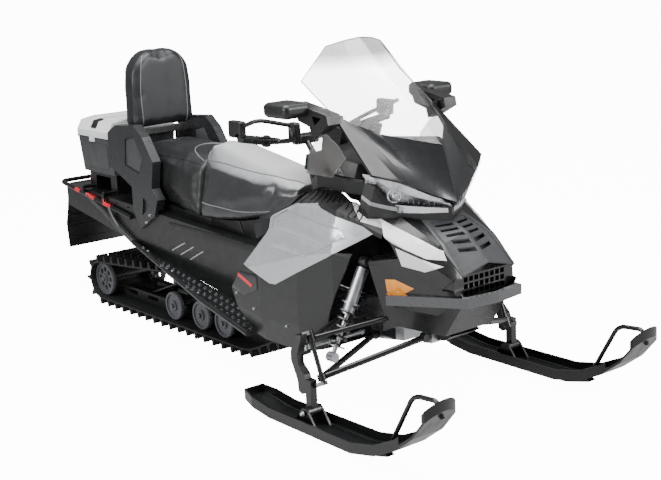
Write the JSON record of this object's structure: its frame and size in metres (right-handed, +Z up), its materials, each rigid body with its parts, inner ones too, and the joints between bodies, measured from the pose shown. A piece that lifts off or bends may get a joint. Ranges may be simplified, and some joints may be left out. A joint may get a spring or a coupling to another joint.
{
  "type": "snowmobile",
  "caption": "Two-seat touring snowmobile on a rubber track and two steering skis, with windscreen, backrest, rear rack and lidded cargo box.",
  "frame": {"origin": "middle of the overall box, on the ground under the track lugs and ski runners", "axes": "+X forward, +Y to the rider's left, +Z up"},
  "size_m": [3.22, 1.22, 1.4201],
  "materials": {
    "track_rubber": "matt, moulded",
    "wheel_grey": "matt",
    "rail_dark": "satin",
    "frame_black": "satin",
    "tunnel_black": "satin",
    "alloy": "cast, satin",
    "steel": "brushed",
    "ski_black": "satin, moulded",
    "plastic_black": "fine grain",
    "panel_silver": "gloss",
    "hood_black": "gloss",
    "deck_grey": "satin",
    "cowl_grey": "gloss",
    "clear_screen": "clear",
    "lamp_glass": "clear",
    "amber_glass": "moulded",
    "red_glass": "moulded",
    "gunmetal": "satin",
    "engine_grey": "matt",
    "vinyl": "soft vinyl",
    "guard_grey": "satin",
    "box_grey": "matt",
    "lid_light": "matt",
    "flap_rubber": "matt",
    "grip_rubber": "matt"
  },
  "bodies": {
    "chassis": {"backrest": "vinyl", "backrest_frame": "frame_black", "belly_pan": "plastic_black", "bogie_wheels": "wheel_grey", "cargo_box": "box_grey", "dash": "plastic_black", "drive_axle": "alloy", "engine": "engine_grey", "front_bumper": "gunmetal", "front_frame": "alloy", "front_shocks": "alloy", "front_springs": "frame_black", "headlights": "lamp_glass", "hood": "hood_black", "instrument": "hood_black", "lamp_housing": "plastic_black", "lower_nose": "plastic_black", "mirrors": "plastic_black", "nose_grille": "deck_grey", "panel_brackets": "guard_grey", "passenger_guards": "guard_grey", "passenger_seat": "vinyl", "rear_idlers": "wheel_grey", "rear_rack": "frame_black", "rear_shock": "alloy", "rear_suspension": "frame_black", "reflectors": "amber_glass", "rider_seat": "vinyl", "running_boards": "tunnel_black", "screen_cowl": "cowl_grey", "seat_base": "plastic_black", "side_deflectors": "clear_screen", "side_panels": "panel_silver", "side_vents": "plastic_black", "slide_rails": "rail_dark", "snow_flap": "flap_rubber", "suspension_arms": "frame_black", "tail_light": "red_glass", "track": "track_rubber", "tunnel": "tunnel_black", "windscreen": "clear_screen"},
    "handlebar": {"handlebar": "frame_black", "grips": "grip_rubber", "hand_guards": "plastic_black"},
    "spindle_left": {"spindle_left": "frame_black"},
    "spindle_right": {"spindle_right": "frame_black"},
    "ski_left": {"ski_left": "ski_black"},
    "ski_right": {"ski_right": "ski_black"},
    "tie_rod_left": {"tie_rod_left": "steel"},
    "tie_rod_right": {"tie_rod_right": "steel"},
    "lid": {"cargo_lid": "lid_light"}
  },
  "joints": [
    {"name": "steering", "type": "hinge", "parent": "chassis", "child": "handlebar", "pos_m": [0.52, 0, 0.64], "axis": [-0.6369, 0, 0.771], "range_deg": [-32, 32]},
    {"name": "spindle_left_turn", "type": "hinge", "parent": "chassis", "child": "spindle_left", "pos_m": [0.903, 0.495, 0.212], "axis": [-0.3657, 0, 0.9308], "range_deg": [-28, 28]},
    {"name": "tie_rod_left_pivot", "type": "hinge", "parent": "spindle_left", "child": "tie_rod_left", "pos_m": [0.77, 0.455, 0.29], "axis": [-0.3657, 0, 0.9308], "range_deg": [-28, 28]},
    {"name": "ski_left_pitch", "type": "hinge", "parent": "spindle_left", "child": "ski_left", "pos_m": [0.89, 0.538, 0.088], "axis": [0, 1, 0], "range_deg": [-12, 12]},
    {"name": "spindle_right_turn", "type": "hinge", "parent": "chassis", "child": "spindle_right", "pos_m": [0.903, -0.495, 0.212], "axis": [-0.3657, 0, 0.9308], "range_deg": [-28, 28]},
    {"name": "tie_rod_right_pivot", "type": "hinge", "parent": "spindle_right", "child": "tie_rod_right", "pos_m": [0.77, -0.455, 0.29], "axis": [-0.3657, 0, 0.9308], "range_deg": [-28, 28]},
    {"name": "ski_right_pitch", "type": "hinge", "parent": "spindle_right", "child": "ski_right", "pos_m": [0.89, -0.538, 0.088], "axis": [0, 1, 0], "range_deg": [-12, 12]},
    {"name": "cargo_lid_hinge", "type": "hinge", "parent": "chassis", "child": "lid", "pos_m": [-1.2475, 0.2015, 0.878], "axis": [-1, 0, 0], "range_deg": [0, 95]}
  ],
  "couplings": [
    {"joint": "spindle_left_turn", "follows": "steering", "ratio": 0.85},
    {"joint": "tie_rod_left_pivot", "follows": "steering", "ratio": -0.85},
    {"joint": "spindle_right_turn", "follows": "steering", "ratio": 0.85},
    {"joint": "tie_rod_right_pivot", "follows": "steering", "ratio": -0.85}
  ]
}
